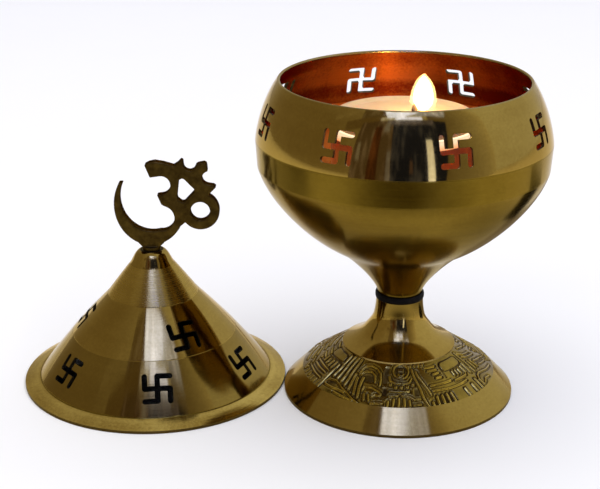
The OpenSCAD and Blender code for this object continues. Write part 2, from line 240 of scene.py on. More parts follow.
def finish_turned(mesh, zones, extra, reliefs):
    """Gives each corner its zone's exact normal, then sets the materials of the zones and of extra faces"""
    co = places(mesh)[whole_numbers(mesh.loops, "vertex_index")]
    zone_of_face = whole_numbers(mesh.polygons, "material_index")
    zone_of_corner = np.repeat(zone_of_face, whole_numbers(mesh.polygons, "loop_total"))
    radius = np.hypot(co[:, 0], co[:, 1])
    normals = np.zeros((len(co), 3))
    for index, (points, _) in enumerate(zones):
        if index in reliefs:
            continue
        here = zone_of_corner == index
        way = headings(points)
        spans = np.ptp(points, axis=0)
        axis = int(spans[1] > spans[0])
        order = np.argsort(points[:, axis])
        at = (radius, co[:, 2])[axis][here]
        out = np.interp(at, points[order, axis], way[order, 1])
        up = -np.interp(at, points[order, axis], way[order, 0])
        r = np.maximum(radius[here], 1e-6)
        normals[here] = np.column_stack([co[here, 0] / r * out, co[here, 1] / r * out, up])
    mesh.polygons.foreach_set("use_smooth", zone_of_face < len(zones))
    mesh.normals_split_custom_set(normals.tolist())
    materials = [m for _, m in zones] + extra
    kinds = list(dict.fromkeys(materials))
    mesh.materials.clear()
    for m in kinds:
        mesh.materials.append(m)
    slots = np.array([kinds.index(m) for m in materials])
    mesh.polygons.foreach_set("material_index", slots[zone_of_face])


# Pierced swastikas


def swastika_outline(width):
    """Right-facing swastika with round stroke ends, flat and centred"""
    half = STROKE_W / 2
    arm = width / 2 - half
    quarter = np.vstack([
        arc((0, arm), half, 180, 90, 6),
        arc((arm, arm), half, 90, -90, 10),
        [[half, arm - half], [half, half]],
    ])
    quarter_turn = np.array([[0, -1], [1, 0]])
    outline, spin = [], np.eye(2)
    for _ in range(4):
        outline.append(quarter @ spin)
        spin = spin @ quarter_turn
    return np.vstack(outline)


def add_cutters(bm, profile, height, count, turn_by, width, slot):
    """A ring of swastika prisms through the wall of a turned profile"""
    reach = 3
    order = np.argsort(profile[:, 1])
    z, r = profile[order, 1], profile[order, 0]
    radius = np.interp(height, z, r)
    span = width / 4
    lean = math.atan((np.interp(height - span, z, r) - np.interp(height + span, z, r)) / (2 * span))
    outline = swastika_outline(width)
    for i in range(count):
        turn = math.radians(turn_by + i * 360 / count)
        out = np.array([math.sin(turn), -math.cos(turn), 0])
        side = np.array([math.cos(turn), math.sin(turn), 0])
        normal = out * math.cos(lean) + np.array([0, 0, math.sin(lean)])
        up = np.cross(normal, side)
        centre = out * radius + np.array([0, 0, height])
        flat = centre + outline[:, :1] * side + outline[:, 1:] * up
        back = [bm.verts.new(p * MM) for p in flat - reach * normal]
        front = [bm.verts.new(p * MM) for p in flat + reach * normal]
        walls = [
            bm.faces.new((back[k], back[(k + 1) % len(back)], front[(k + 1) % len(back)], front[k]))
            for k in range(len(back))
        ]
        for face in walls + [bm.faces.new(front), bm.faces.new(back[::-1])]:
            face.material_index = slot


def pierced(mesh, rows, slot):
    """The mesh with its rows of swastikas cut out; their walls get that material slot.
    A row is a profile, the holes' height, their count, the first one's turn in degrees and their width."""
    bm = bmesh.new()
    for row in rows:
        add_cutters(bm, *row, slot)
    bmesh.ops.recalc_face_normals(bm, faces=bm.faces)
    cutter_mesh = bpy.data.meshes.new("cutters")
    bm.to_mesh(cutter_mesh)
    bm.free()
    for m in (mesh, cutter_mesh):
        for _ in range(slot + 1):
            m.materials.append(None)
    solid = linked("solid", mesh)
    cutter = linked("cutter", cutter_mesh)
    cut = solid.modifiers.new("cut", "BOOLEAN")
    cut.operation = "DIFFERENCE"
    cut.solver = "EXACT"
    cut.object = cutter
    shaped = solid.evaluated_get(bpy.context.evaluated_depsgraph_get())
    result = bpy.data.meshes.new_from_object(shaped)
    bpy.data.objects.remove(solid)
    bpy.data.objects.remove(cutter)
    return result


# Turned pieces


def add_turned(name, zones, body, replaced=None, at=(0, 0, 0), rows=(), reliefs=None,
               segments=SEGMENTS):
    """A piece made of turned zones, pierced by rows of swastikas where it has some"""
    mesh = lathe(name, zones, segments, reliefs or {})
    if rows:
        mesh = pierced(mesh, rows, len(zones))
    finish_turned(mesh, zones, [brass_sawn_and_painted_shade] if rows else [], reliefs or {})
    return add_object(name, mesh, body, replaced, at)


# Materials


def new_material(name):
    """A material, a function that adds nodes to it and one that feeds its shader's inputs"""
    material = bpy.data.materials.new(name)
    material.use_nodes = True
    tree = material.node_tree

    def fill(node, inputs):
        for key, value in inputs.items():
            if isinstance(value, bpy.types.NodeSocket):
                tree.links.new(value, node.inputs[key])
            else:
                node.inputs[key].default_value = value

    def add(kind, inputs=None, **settings):
        node = tree.nodes.new("ShaderNode" + kind)
        for key, value in settings.items():
            setattr(node, key, value)
        fill(node, inputs or {})
        return node

    def feed(inputs):
        fill(tree.nodes["Principled BSDF"], inputs)

    return material, add, feed


def rgba(colour):
    return (*colour, 1)


def mixed(add, amount, first, second):
    """Colour that goes from first to second with amount"""
    first, second = (c if isinstance(c, bpy.types.NodeSocket) else rgba(c) for c in (first, second))
    return add("Mix", {0: amount, 6: first, 7: second}, data_type="RGBA").outputs[2]


def ranged(add, value, low_in, high_in, low_out, high_out):
    node = add("MapRange", {0: value, 1: low_in, 2: high_in, 3: low_out, 4: high_out})
    return node.outputs[0]


def summed(add, first, second):
    return add("Math", {0: first, 1: second}, operation="ADD").outputs[0]


def turned_coordinate(add, along_radius):
    """Distance along a turned profile, from height and radius"""
    place = add("TexCoord").outputs["Object"]
    parts = add("SeparateXYZ", {0: place})
    flat = add("CombineXYZ", {0: parts.outputs[0], 1: parts.outputs[1]})
    radius = add("VectorMath", {0: flat.outputs[0]}, operation="LENGTH").outputs["Value"]
    scaled = add("Math", {0: radius, 1: float(along_radius)}, operation="MULTIPLY").outputs[0]
    return place, summed(add, parts.outputs[2], scaled)


def noise(add, place, scale, detail=2.0, roughness=0.5):
    node = add("TexNoise", {"Vector": place, "Scale": scale, "Detail": detail, "Roughness": roughness})
    return node.outputs["Fac"]


def line_noise(add, distance, lines_per_mm, detail=2.0):
    """Noise that changes only along the profile, as turning marks do"""
    inputs = {"W": distance, "Scale": lines_per_mm / MM, "Detail": detail}
    return add("TexNoise", inputs, noise_dimensions="1D").outputs["Fac"]


def bumped(add, height, strength, distance):
    """Normals of a surface that is uneven by that distance in millimetres"""
    return add("Bump", {"Height": height, "Strength": strength, "Distance": distance * MM}).outputs[0]


def brass(name, light, dark, roughness, along_radius, lines=0.4, anisotropy=0.7, coat=0.08, banding=0.12,
          grazing=(0.97, 0.86, 0.62), shade_above=None):
    """Turned brass: turning marks round the axis, cloudy tarnish and a thin lacquer.
    The marks follow the height plus along_radius times the radius. grazing tints flat glances.
    shade_above gives a colour of painted shade that the brass takes between two heights and keeps above them."""
    material, add, feed = new_material(name)
    place, distance = turned_coordinate(add, along_radius)
    cloud = noise(add, place, scale=55, detail=4, roughness=0.6)
    marks = line_noise(add, distance, lines_per_mm=1.7, detail=2)
    bands = line_noise(add, distance, lines_per_mm=0.3, detail=1)
    grain = noise(add, place, scale=1500, detail=2, roughness=0.6)
    faint = ranged(add, bands, 0, 1, -banding, banding)
    speckled = summed(add, faint, ranged(add, grain, 0.3, 0.7, -0.1, 0.1))
    tone = summed(add, cloud, speckled)
    colour = mixed(add, ranged(add, tone, 0.3, 0.7, 0, 1), dark, light)
    # Painted shade: a darker colour from one height upwards
    if shade_above:
        shade_colour, low_z, high_z = shade_above
        height = add("SeparateXYZ", {0: place}).outputs[2]
        colour = mixed(add, ranged(add, height, low_z * MM, high_z * MM, 0, 1), colour, shade_colour)
    gloss = summed(add, marks, cloud)
    tangent = add("Tangent", direction_type="RADIAL", axis="Z")
    feed({
        "Base Color": colour,
        "Metallic": 1,
        "Roughness": ranged(add, gloss, 0.7, 1.3, roughness * 0.8, roughness * 1.3),
        "Normal": bumped(add, marks, lines, 0.004),
        "Specular Tint": rgba(grazing),
        "Anisotropic": anisotropy,
        "Anisotropic Rotation": 0.25,
        "Tangent": tangent.outputs[0],
        "Coat Weight": coat,
        "Coat Roughness": 0.08,
    })
    return material


def plain(name, light, dark, roughness, scale, metallic=0.0, depth=0.02, more=None):
    """Mottled material with a fine uneven surface; more gives further inputs of its shader"""
    material, add, feed = new_material(name)
    place = add("TexCoord").outputs["Object"]
    cloud = noise(add, place, scale, detail=4, roughness=0.6)
    fine = noise(add, place, scale * 6, detail=3)
    feed({
        "Base Color": mixed(add, ranged(add, cloud, 0.35, 0.65, 0, 1), dark, light),
        "Metallic": metallic,
        "Roughness": ranged(add, cloud, 0.3, 0.7, roughness * 1.2, roughness * 0.85),
        "Normal": bumped(add, fine, 0.6, depth),
    })
    feed(more or {})
    return material


def chased_brass(name, groove, field, ridge):
    """Chased band: raised lines rubbed bright, the field between them matt and its grooves dark"""
    material, add, feed = new_material(name)
    place = add("TexCoord").outputs["Object"]
    relief = add("Attribute", attribute_name="relief").outputs["Fac"]
    cloud = noise(add, place, scale=260, detail=4, roughness=0.6)
    worn = summed(add, relief, ranged(add, cloud, 0.3, 0.7, -0.16, 0.16))
    ground = mixed(add, ranged(add, worn, 0.0, 0.5, 0, 1), groove, field)
    fine = noise(add, place, scale=1600, detail=3)
    feed({
        "Base Color": mixed(add, ranged(add, worn, 0.5, 1.0, 0, 1), ground, ridge),
        "Metallic": 1,
        "Roughness": ranged(add, worn, 0.1, 0.6, 0.5, 0.18),
        "Normal": bumped(add, fine, 0.5, 0.03),
    })
    return material


def glowing(name, low_colour, high_colour, strength, bottom, top, alpha=1.0):
    """A lit surface that goes from one colour at its bottom to another at its top"""
    material, add, feed = new_material(name)
    parts = add("SeparateXYZ", {0: add("TexCoord").outputs["Object"]})
    height = ranged(add, parts.outputs[2], bottom * MM, top * MM, 0, 1)
    colour = mixed(add, height, low_colour, high_colour)
    feed({"Base Color": colour, "Emission Color": colour, "Emission Strength": strength, "Alpha": alpha})
    return material


# Brasses: light and dark colour, roughness, and the radius's share in their marks
BRASS_LIGHT = (0.36, 0.228, 0.038)
BRASS_DARK = (0.28, 0.168, 0.024)
brass_polished = brass("brass_polished", BRASS_LIGHT, BRASS_DARK, 0.075, 0)
# Lower belly: the brass made darker, painted shade
brass_lower_painted_shade = brass("brass_lower_painted_shade", (0.215, 0.132, 0.015), (0.16, 0.094, 0.009), 0.19, 1, coat=0.04)
# Middle band and turned grooves: satin brass whose colour is darkened as painted shade
brass_satin_painted_shade = brass("brass_satin_painted_shade", (0.22, 0.136, 0.014), (0.17, 0.1, 0.008), 0.18, 0, coat=0.03)
brass_lid = brass("brass_lid", BRASS_LIGHT, BRASS_DARK, 0.09, -1, lines=0.5)
# Lid's lowest cone: a darker copy of the lid's brass, painted shade
brass_lid_low_painted_shade = brass("brass_lid_low_painted_shade", (0.27, 0.168, 0.026), (0.21, 0.124, 0.017), 0.09, -1, lines=0.5)
# Lid's top cone: a lighter copy of the lid's brass, painted highlight
brass_lid_top_painted_light = brass("brass_lid_top_painted_light", (0.42, 0.27, 0.046), (0.34, 0.21, 0.032), 0.25, -1, lines=0.8)
# Brim: a lighter copy of the brass, painted light
brass_brim_painted_light = brass("brass_brim_painted_light", (0.6, 0.415, 0.085), (0.35, 0.215, 0.032), 0.13, -1, lines=1.6,
                   banding=0.25)
brass_edge = brass("brass_edge", (0.42, 0.3, 0.1), (0.3, 0.2, 0.05), 0.2, 1)
# Cut lips along the bottom edges: dark as unpolished metal, and darker still as painted contact shade
brass_cut_and_painted_shade = brass("brass_cut_and_painted_shade", (0.1, 0.062, 0.014), (0.06, 0.036, 0.007), 0.35, 1, coat=0.0)
# Bowl's inside, upper and deeper: red-orange brass that paints the flame's glow into its colour and edge tint
brass_inside_painted_glow = brass("brass_inside_painted_glow", (0.66, 0.14, 0.012), (0.26, 0.025, 0.0018), 0.45, 1, lines=1.4,
                     anisotropy=0.96, coat=0.0, banding=0.4, grazing=(0.8, 0.12, 0.02))
brass_deep_painted_glow = brass("brass_deep_painted_glow", (0.95, 0.3, 0.045), (0.75, 0.18, 0.02), 0.4, 1, coat=0.0)
# Insides out of sight: near-black brass, painted shade
brass_hidden_painted_shade = brass("brass_hidden_painted_shade", (0.05, 0.032, 0.01), (0.025, 0.016, 0.005), 0.5, 1, coat=0.0)
brass_foot = brass("brass_foot", BRASS_LIGHT, BRASS_DARK, 0.12, -1)
# Flare: a lighter copy of the brass as painted light, with painted shade towards its top
brass_flare_painted_light_and_shade = brass("brass_flare_painted_light_and_shade", (0.43, 0.272, 0.046), (0.34, 0.204, 0.03), 0.12, -1,
                    shade_above=((0.21, 0.13, 0.02), 21.4, 23.4))
brass_chased = chased_brass("brass_chased", (0.05, 0.026, 0.004), (0.27, 0.172, 0.022), (0.47, 0.3, 0.034))

# Other materials: light and dark colour, roughness and scale of the mottling
# Walls of the pierced holes: dark as sawn metal and as painted shade inside the holes
brass_sawn_and_painted_shade = plain("brass_sawn_and_painted_shade", (0.16, 0.11, 0.035), (0.06, 0.04, 0.012), 0.5, 900, metallic=1)
brass_cast = plain("brass_cast", (0.11, 0.066, 0.011), (0.055, 0.031, 0.005), 0.44, 420, metallic=1,
                   depth=0.05, more={"Specular Tint": rgba((0.2, 0.13, 0.03))})
ring_black = plain("ring_black", (0.007, 0.0045, 0.003), (0.003, 0.002, 0.0015), 0.6, 700,
                   more={"Specular IOR Level": 0.08})
steel = plain("steel", (0.55, 0.55, 0.56), (0.4, 0.4, 0.41), 0.3, 800, metallic=1, depth=0.01)
foil = plain("foil", (0.8, 0.68, 0.47), (0.66, 0.54, 0.36), 0.36, 300, metallic=1)
wick_char = plain("wick_char", (0.09, 0.045, 0.02), (0.012, 0.008, 0.006), 0.8, 1200, depth=0.1)
WAX_DEPTH = {
    "Subsurface Weight": 0.6,
    "Subsurface Radius": (1, 0.55, 0.25),
    "Subsurface Scale": 3 * MM,
}
wax = plain("wax", (0.56, 0.41, 0.24), (0.52, 0.365, 0.19), 0.35, 120, depth=0.05, more=WAX_DEPTH)
# A wax film over the cup's rim, glowing with the flame's light painted on
wax_side_painted_glow = glowing("wax_side_painted_glow", (0.9, 0.4, 0.14), (1, 0.8, 0.5), 0.8, CUP_TOP - LIT_SIDE, CUP_TOP - 1)


# Foot and waist ring


def uprights(*marks):
    """Lines straight up the chased band, each from its turn, bottom and top"""
    return tuple(((turn, bottom), (turn, top)) for turn, bottom, top in marks)


# Chased lines of the band's front half: turns in degrees from the front towards +X,
# and millimetres up the band from its outer edge. The back half repeats them.
PLEATS = uprights(
    (-59.3, 0.1, 8.4), (-54.9, 5.0, 12.4), (-50.5, 4.9, 12.6), (-46.2, 4.6, 12.6), (-42, 4.0, 12.6),
    (18, -0.3, 1.2), (21.5, -0.3, 2.6), (25, -0.1, 2.6), (28.5, 0.1, 2.7), (32, 0.2, 2.7), (44.2, 0.2, 2.6),
    (51.6, 0.2, 2.8), (57.4, 0.2, 3.4), (-73, 6.3, 8.2), (-68, 6.3, 8.4), (-63.6, 6.4, 8.6), (-78, 6.3, 8.2),
) + (
    ((-37.7, 3.2), (-38.4, 8.2)), ((-32.8, 2.3), (-35.6, 7.2)), ((-29.4, 1.6), (-30.8, 4.8), (-31.4, 7.8)),
)
RIDGES = uprights(
    (-9.6, 0, 1.7), (-6.4, 0.5, 2.5), (-3.2, 0.5, 2.8), (0.2, 0.5, 2.8), (3.4, 0.5, 2.2),
    (44, 7, 8.3), (47.8, 6.8, 8.3), (51.4, 6.6, 8.3), (55.6, 6.2, 8.6), (60, 5.2, 8.8), (64.6, 4.6, 12.2),
    (68.4, 5.2, 8), (72.4, 5, 7.6), (-79.4, 0.3, 1.6), (-74, 0.6, 1.5), (-69.4, 0.3, 1.7), (-65.4, 0.3, 1.7),
) + (
    ((-57.2, 2.3), (-55.6, 3.8), (-50.2, 4.2), (-46, 3.7), (-42, 2.9), (-37, 2.1), (-31.5, 0.8), (-28, 0.1)),
    ((-56, 2.0), (-50, 1.9), (-44, 2.1), (-39, 1.9)), ((-46, 1.0), (-38, 0.6), (-31.5, 0.3)),
    ((-35.8, 8.6), (-36.2, 9.9), (-33.6, 11.1), (-28, 11.7), (-22.4, 11.2), (-18.6, 9.9),
     (-17.2, 8), (-17.2, 6.2)),
    ((-34, 8.6), (-33.4, 9.3), (-30, 9.9), (-26, 9.9), (-22.6, 9.1), (-21.2, 7.2)),
    ((-27.8, 4), (-27.4, 5.2), (-22, 5.3), (-17, 4.5), (-15, 3.6)),
    ((-20.2, 2.6), (-18.4, 3.3), (-15.4, 3.1)),
    ((-20, 0.7), (-17, 1.0), (-13, 1.1)), ((-26, 3.1), (-24.8, 1.3)), ((-22.8, 3.1), (-21.6, 1.3)),
    ((-4, 10.2), (-2.4, 9.7), (-0.6, 9.6), (0.8, 10.2)),
    ((-10.8, 9.2), (-9.4, 8), (-5.4, 7.3), (0, 7.1), (4.4, 7.5), (7, 8.8)),
    ((-9.4, 4.9), (4, 5)), ((-9.6, 3.3), (-4, 3.7)), ((-1, 3.7), (2, 3.6), (4.4, 3.2), (6.6, 2.4)),
    ((5.6, 0.7), (10, 0.9)), ((7.6, 2.6), (10.6, 2.6)),
    ((8.4, 11.4), (12, 5), (13.2, 2.5), (14.8, -0.1)), ((11.6, 10.6), (15.6, 6.8), (17, 5), (18.2, 3.4)),
    ((20, 11.5), (31, 11.6)), ((22, 10.3), (31, 10.4)), ((25.4, 9.1), (31.4, 9.3)), ((27, 7.9), (31.6, 7.9)),
    ((20, 6.1), (37.6, 6.2)), ((20, 4.4), (33, 4.2), (50, 4.4)), ((41, 5.7), (54, 5.6)),
    ((60.6, 0.4), (60.6, 2.5), (63, 3.4), (67, 3.7), (72, 3.1), (78, 2.2), (86, 1.4)),
    ((63, 0.7), (67, 1.5), (72, 1)), ((67, 11.6), (74, 9.9), (84, 8.7)), ((68, 9.9), (76, 8.5), (86, 7.2)),
    ((76, 6.6), (88, 4.8)), ((77, 4.9), (88, 3.2)), ((76, 12.1), (88, 10.6)),
    ((-83, 5.4), (-63.4, 5.4)), ((-82, 4.3), (-64, 4.3)), ((-82, 2.6), (-64, 2.5)),
    ((-88, 9.8), (-80, 8.9)), ((-88, 7.6), (-81, 7)), ((-88, 12.2), (-82, 11.6)), ((-88, 2.2), (-84, 0.6)),
    ((-90, 4.4), (-85, 3.2)),
)
# Widths in millimetres of each list's ridges, and of the grooves on both sides of them
CHASED_LINES = ((PLEATS, 0.6, 0.5), (RIDGES, 0.5, 0.36))
DOTS = (
    (7.2, 12.4), (11.2, 12.4), (15, 12.5), (19, 12.4), (-9.2, 6.9), (-5.2, 6.2), (-1.2, 6.1), (3, 6.2),
    (7, 6.8), (-84, 1.5), (-84.6, 6.2),
)
# Middle, half width in degrees and half height of smooth fields, and of dark pits
FIELDS = (((48, 10.6), 11.4, 1.25), ((-69.4, 10.7), 10.4, 1.2), ((-1.4, 11.3), 3, 0.6))
PITS = (
    ((-27, 7.8), 4.2, 1.1), ((-13.4, 9.4), 2.2, 2.6), ((-12.6, 4.4), 1.6, 1.3), ((8.6, 7.6), 2.0, 1.4),
    ((28.6, 9.8), 3.4, 1.4), ((-51, 3.1), 3, 0.5), ((-2, 1.7), 6, 1.0), ((-24, 2.4), 2.2, 0.9),
    ((9, 4.4), 1.8, 1.0), ((35, 9.2), 0.7, 2.2),
)
# Middle and radius of a ring, and radius of the dots
RING = ((-1.4, 11), 2.05)
DOT_R = 0.2
# Half widths of ridge and groove round the dots and the ring
ROUND_RIDGE, ROUND_GROOVE = 0.24, 0.55
# How far outside a field its groove lies, that groove's half width, and the rounding of its corners
FIELD_GAP, FIELD_GROOVE, FIELD_ROUNDING = 0.2, 0.24, 0.6
# A pit's depth as a share of a groove's, and the width of its soft edge
PIT_SHARE, PIT_BLUR = 0.7, 0.5
RIDGE_H, GROOVE_D = 0.13, 0.24
# How far the hand that chased the lines wavers
WAVER = 0.08


def soft_step(distance, reach, blur=0.14):
    """1 within reach and 0 beyond, with a soft edge"""
    return np.clip((reach - distance) / blur + 0.5, 0, 1)


def chased_marks(turn, points):
    """How far each place of the band is a ridge and a groove, from 0 to 1"""
    along = lengths(points)[:, None]
    radius = points[:, :1]
    half = len(turn) // 2
    turn = (turn[None, :half] + 90) % 180 - 90

    waver_x = WAVER * np.sin(0.9 * along + 0.21 * turn)
    waver_y = WAVER * np.sin(0.15 * turn + 1.1 * along)

    def offset(place):
        return radius * np.radians((place[0] - turn + 90) % 180 - 90) + waver_x, place[1] - along + waver_y

    def line_distance(start, end):
        x0, y0 = offset(start)
        dx, dy = radius * math.radians(end[0] - start[0]), end[1] - start[1]
        t = np.clip(-(x0 * dx + y0 * dy) / (dx**2 + dy**2), 0, 1)
        return np.hypot(x0 + t * dx, y0 + t * dy)

    def field_distance(middle, half_w, half_h):
        x, y = offset(middle)
        half_x = radius * math.radians(half_w)
        corner = FIELD_ROUNDING * np.minimum(half_h, half_x)
        wide = np.abs(x) - half_x + corner
        tall = np.abs(y) - half_h + corner
        outside = np.hypot(np.maximum(wide, 0), np.maximum(tall, 0))
        return outside + np.minimum(np.maximum(wide, tall), 0) - corner

    ridge = np.zeros((len(points), half))
    groove = np.zeros((len(points), half))
    for pit in PITS:
        groove = np.maximum(groove, soft_step(field_distance(*pit), 0, PIT_BLUR) * PIT_SHARE)
    for field in FIELDS:
        outline = np.abs(field_distance(*field) - FIELD_GAP)
        groove = np.maximum(groove, soft_step(outline, FIELD_GROOVE))
    for lines, ridge_w, groove_w in CHASED_LINES:
        legs = [leg for line in lines for leg in zip(line[:-1], line[1:])]
        nearest = np.minimum.reduce([line_distance(*leg) for leg in legs])
        ridge = np.maximum(ridge, soft_step(nearest, ridge_w / 2))
        groove = np.maximum(groove, soft_step(nearest, ridge_w / 2 + groove_w))
    rounds = [np.maximum(np.hypot(*offset(dot)) - DOT_R, 0) for dot in DOTS]
    rounds.append(np.abs(np.hypot(*offset(RING[0])) - RING[1]))
    nearest = np.minimum.reduce(rounds)
    ridge = np.maximum(ridge, soft_step(nearest, ROUND_RIDGE))
    groove = np.maximum(groove, soft_step(nearest, ROUND_GROOVE))
    return np.tile(ridge, 2), np.tile(groove, 2)


def chased_lift(turn, points):
    """Heights of the chased band's ridges and depths of its grooves"""
    ridge, groove = chased_marks(turn, points)
    fade = np.ones(len(points))
    fade[[0, -1]] = 0
    return np.where(ridge > 0, ridge * (RIDGE_H + GROOVE_D) - GROOVE_D, -groove * GROOVE_D) * fade[:, None]


def make_foot():
    lip = (FOOT_R, 0.8)
    band_outer, band_inner = (26.0, 6.1), (15.2, 13.3)
    flare_foot = np.array([15.2, 13.7])
    neck = np.array([6.3, FOOT_TOP])
    plate_z = FOOT_TOP - 2
    flare = bezier(flare_foot, flare_foot + leaning(6.9, -66), neck - (0, 6.5), neck, 64)
    wave_h = 1.5
    for wave_z, growth in ((18.4, 0.16), (21.2, -0.1)):
        flare[:, 0] += growth * np.exp(-((flare[:, 1] - wave_z) / wave_h) ** 2)
    outer = straight(lip, band_outer, 10)
    band = straight(band_outer, band_inner, 96)
    hollow_top = inset(flare, FOOT_WALL)
    hollow_top = hollow_top[hollow_top[:, 1] < plate_z]
    pocket = (hollow_top[0, 0], plate_z)
    under_band = straight((14.5, 12.3), (25.2, 5.2))
    zones = [
        (straight((FOOT_R, 0), lip, 2), brass_cut_and_painted_shade),
        (outer, brass_foot),
        (band, brass_chased),
        (straight(band_inner, flare_foot, 2), brass_edge),
        (flare, brass_flare_painted_light_and_shade),
        *cornered(brass_hidden_painted_shade, neck, (SCREW_HOLE_R, FOOT_TOP), (SCREW_HOLE_R, plate_z), pocket),
        (np.vstack([[pocket], hollow_top, under_band[:1]]), brass_hidden_painted_shade),
        (under_band, brass_hidden_painted_shade),
        (straight(under_band[-1], (FOOT_R - FOOT_WALL, 0), 4), brass_hidden_painted_shade),
        (straight((FOOT_R - FOOT_WALL, 0), (FOOT_R, 0), 2), brass_hidden_painted_shade),
    ]
    band_zone = 2
    reliefs = {band_zone: chased_lift}
    foot = add_turned(
        "foot_turned", zones, "goblet", "foot", reliefs=reliefs, segments=FOOT_SEGMENTS
    )
    paint_relief(foot.data, band)


def paint_relief(mesh, band):
    """Keeps how far the chased band is raised at each corner, for its wear"""
    turn = np.arange(FOOT_SEGMENTS) * 360 / FOOT_SEGMENTS
    ridge, groove = chased_marks(turn, band)
    raised = np.where(ridge > 0, ridge, 0.5 - 0.5 * groove)
    co = places(mesh)
    radius = np.hypot(co[:, 0], co[:, 1])
    along = (band[0, 0] - radius) / (band[0, 0] - band[-1, 0]) * (len(band) - 1)
    row = np.clip(np.rint(along), 0, len(band) - 1).astype(int)
    column = np.rint(np.degrees(np.arctan2(co[:, 0], -co[:, 1])) / 360 * FOOT_SEGMENTS).astype(int)
    values = raised[row, column % FOOT_SEGMENTS]
    mesh.attributes.new("relief", "FLOAT", "POINT").data.foreach_set("value", values)


def make_ring():
    """A rubber ring whose squeezed edge bulges over the metal above and below it"""
    middle_z = (BOWL_Z + FOOT_TOP) / 2
    bulge, half_h = 0.36, 0.98
    bead = arc((0, 0), 1, -126, 126, 24) * (bulge, half_h) + (RING_R - bulge, middle_z)
    zones = [
        (straight((SCREW_HOLE_R, FOOT_TOP), (bead[0, 0], FOOT_TOP), 2), ring_black),
        (np.vstack([[(bead[0, 0], FOOT_TOP)], bead, [(bead[-1, 0], BOWL_Z)]]), ring_black),
        *cornered(ring_black, (bead[-1, 0], BOWL_Z), (SCREW_HOLE_R, BOWL_Z), (SCREW_HOLE_R, FOOT_TOP)),
    ]
    add_turned("waist_ring_bead", zones, "goblet", "waist_ring", segments=SEGMENTS // 2)


# Bowl


def make_bowl():
    neck = np.array([6.0, BOWL_Z])
    turn = np.array([18.2, BOWL_Z + 13.65])
    turn_way = leaning(1, 61)
    low_line = np.array([BOWL_R - 0.45, BOWL_Z + 35.9])
    high_line = np.array([BOWL_R, BOWL_Z + 42.8])
    rim = np.array([32.7, RIM_Z])
    floor_z = BOWL_Z + 1.4
    lower = joined(
        bezier(neck, neck + (0, 3), turn - 4.4 * turn_way, turn),
        bezier(turn, turn + 10.5 * turn_way, low_line - leaning(7.4, 14), low_line, 64),
    )
    middle = straight(low_line, high_line, 12)
    band = bezier(high_line, high_line + leaning(4.9, -7), rim - leaning(4.9, -37), rim, 40)
    low_groove, high_groove = turned_line(lower, middle), turned_line(middle, band)
    inner_band = inset(band, BOWL_WALL)
    inner_middle = straight(inner_band[-1], inset(middle, BOWL_WALL)[-1], 12)
    inner_lower = inset(lower, BOWL_WALL)
    inner_lower = inner_lower[inner_lower[:, 1] > floor_z]
    inner_lower[0] = inner_middle[-1]
    well = (inner_lower[-1, 0], floor_z)
    across = inner_band[0] - rim
    rounded = arc(rim + across / 2, BOWL_WALL / 2, 37, 217, 12)
    zones = [
        (lower, brass_lower_painted_shade),
        (low_groove, brass_satin_painted_shade),
        (middle, brass_satin_painted_shade),
        (high_groove, brass_satin_painted_shade),
        (band, brass_polished),
        (rounded, brass_edge),
        (inner_band, brass_inside_painted_glow),
        (inner_middle, brass_deep_painted_glow),
        (np.vstack([inner_lower, [well]]), brass_deep_painted_glow),
        (straight(well, (SCREW_HOLE_R, floor_z), 3), brass_deep_painted_glow),
        *cornered(brass_hidden_painted_shade, (SCREW_HOLE_R, floor_z), (SCREW_HOLE_R, BOWL_Z), neck),
    ]
    hole_z, hole_count, first_turn, hole_w = RIM_Z - 8.6, 8, 15.5, 8.2
    rows = [(band, hole_z, hole_count, first_turn, hole_w)]
    add_turned("bowl_turned", zones, "goblet", "bowl", rows=rows)


# Lid and its Om


